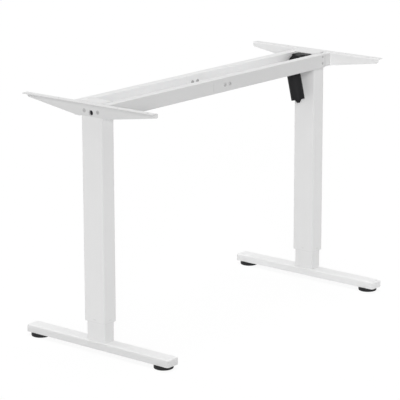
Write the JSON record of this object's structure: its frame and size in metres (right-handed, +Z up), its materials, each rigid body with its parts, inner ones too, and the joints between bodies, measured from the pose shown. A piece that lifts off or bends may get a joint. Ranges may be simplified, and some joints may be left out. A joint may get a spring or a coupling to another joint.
{
  "type": "standing desk frame",
  "caption": "White height-adjustable desk frame: telescopic columns on bar feet, extending rails, tapered desktop brackets and a black motor that drives the columns by a hexagonal shaft.",
  "frame": {"origin": "on the floor under the middle of the frame, legs down and rails pushed in", "axes": "+X towards the motor column, +Y towards the back of the desk, +Z up"},
  "size_m": [1.079, 0.54, 0.728],
  "materials": {
    "powder_white": "fine matt powder coat",
    "zinc_steel": "bright zinc",
    "machined_steel": "turned, oiled",
    "cast_block": "die cast",
    "slide_nylon": "moulded, matt",
    "collar_grey": "moulded, pale grey",
    "glide_plastic": "moulded, matt",
    "black_screws": "black oxide",
    "white_screws": "coated to match the rails",
    "gear_nylon": "moulded, matt",
    "wheel_brass": "cut",
    "case_black": "moulded, matt",
    "motor_black": "satin paint"
  },
  "bodies": {
    "right_leg": {"right_foot": "powder_white", "right_foot_stiffener": "zinc_steel", "right_foot_screws": "zinc_steel", "right_tube_plug": "zinc_steel", "right_inner_tube": "powder_white", "right_drive_nut": "slide_nylon", "right_slide_pads": "slide_nylon"},
    "right_frame": {"right_outer_tube": "powder_white", "right_glide_collar": "collar_grey", "right_column_cap": "powder_white", "right_bracket": "powder_white", "right_bracket_screws": "white_screws", "right_gear_block": "cast_block", "right_gear_block_lid": "cast_block", "right_spindle_bearing": "machined_steel", "front_outer_rail": "powder_white", "back_outer_rail": "powder_white", "rail_stubs": "powder_white", "stub_screws": "white_screws", "lock_bolts": "white_screws", "lock_nuts": "white_screws", "gear_case": "case_black", "gear_case_cover": "case_black", "gear_case_screws": "black_screws", "motor": "motor_black", "motor_socket": "case_black"},
    "left_frame": {"left_outer_tube": "powder_white", "left_glide_collar": "collar_grey", "left_column_cap": "powder_white", "left_bracket": "powder_white", "left_bracket_screws": "white_screws", "left_gear_block": "cast_block", "left_gear_block_lid": "cast_block", "left_spindle_bearing": "machined_steel", "front_inner_rail": "powder_white", "back_inner_rail": "powder_white", "front_left_rail": "powder_white", "back_left_rail": "powder_white", "rail_shoes": "slide_nylon"},
    "left_leg": {"left_foot": "powder_white", "left_foot_stiffener": "zinc_steel", "left_foot_screws": "zinc_steel", "left_tube_plug": "zinc_steel", "left_inner_tube": "powder_white", "left_drive_nut": "slide_nylon", "left_slide_pads": "slide_nylon"},
    "right_spindle_set": {"right_spindle": "machined_steel", "right_spindle_gear": "machined_steel"},
    "left_spindle_set": {"left_spindle": "machined_steel", "left_spindle_gear": "machined_steel"},
    "drive_shaft_set": {"drive_shaft": "zinc_steel", "right_drive_gear": "gear_nylon", "worm_wheel": "wheel_brass"},
    "drive_tube_set": {"drive_tube": "zinc_steel", "left_drive_gear": "gear_nylon", "drive_tube_collar": "slide_nylon"},
    "worm_set": {"worm_shaft": "machined_steel"},
    "right_front_glide_set": {"right_front_glide": "glide_plastic"},
    "right_back_glide_set": {"right_back_glide": "glide_plastic"},
    "left_front_glide_set": {"left_front_glide": "glide_plastic"},
    "left_back_glide_set": {"left_back_glide": "glide_plastic"}
  },
  "joints": [
    {"name": "lift", "type": "slide", "parent": "right_leg", "child": "right_frame", "axis": [0, 0, 1], "range_m": [0, 0.45]},
    {"name": "width_adjust", "type": "slide", "parent": "right_frame", "child": "left_frame", "axis": [-1, 0, 0], "range_m": [0, 0.4]},
    {"name": "left_lift", "type": "slide", "parent": "left_frame", "child": "left_leg", "axis": [0, 0, -1], "range_m": [0, 0.45]},
    {"name": "right_spindle_turn", "type": "hinge", "parent": "right_frame", "child": "right_spindle_set", "pos_m": [0.4905, 0, 0.4], "axis": [0, 0, 1], "continuous": true},
    {"name": "left_spindle_turn", "type": "hinge", "parent": "left_frame", "child": "left_spindle_set", "pos_m": [-0.4905, 0, 0.4], "axis": [0, 0, 1], "continuous": true},
    {"name": "shaft_turn", "type": "hinge", "parent": "right_frame", "child": "drive_shaft_set", "pos_m": [0.02, 0, 0.698], "axis": [1, 0, 0], "continuous": true},
    {"name": "tube_turn", "type": "hinge", "parent": "left_frame", "child": "drive_tube_set", "pos_m": [-0.23, 0, 0.698], "axis": [1, 0, 0], "continuous": true},
    {"name": "worm_turn", "type": "hinge", "parent": "right_frame", "child": "worm_set", "pos_m": [0.4277, 0.01997, 0.69339], "axis": [0, 0.225, 0.9744], "continuous": true},
    {"name": "right_front_glide_screw", "type": "slide", "parent": "right_leg", "child": "right_front_glide_set", "axis": [0, 0, -1], "range_m": [0, 0.01]},
    {"name": "right_back_glide_screw", "type": "slide", "parent": "right_leg", "child": "right_back_glide_set", "axis": [0, 0, -1], "range_m": [0, 0.01]},
    {"name": "left_front_glide_screw", "type": "slide", "parent": "left_leg", "child": "left_front_glide_set", "axis": [0, 0, -1], "range_m": [0, 0.01]},
    {"name": "left_back_glide_screw", "type": "slide", "parent": "left_leg", "child": "left_back_glide_set", "axis": [0, 0, -1], "range_m": [0, 0.01]}
  ],
  "couplings": [
    {"joint": "left_lift", "follows": "lift", "ratio": 1},
    {"joint": "right_spindle_turn", "follows": "lift", "rad_per_m": 785.4},
    {"joint": "left_spindle_turn", "follows": "lift", "rad_per_m": 785.4},
    {"joint": "shaft_turn", "follows": "lift", "rad_per_m": -785.4},
    {"joint": "tube_turn", "follows": "lift", "rad_per_m": -785.4},
    {"joint": "worm_turn", "follows": "lift", "rad_per_m": 14137}
  ]
}
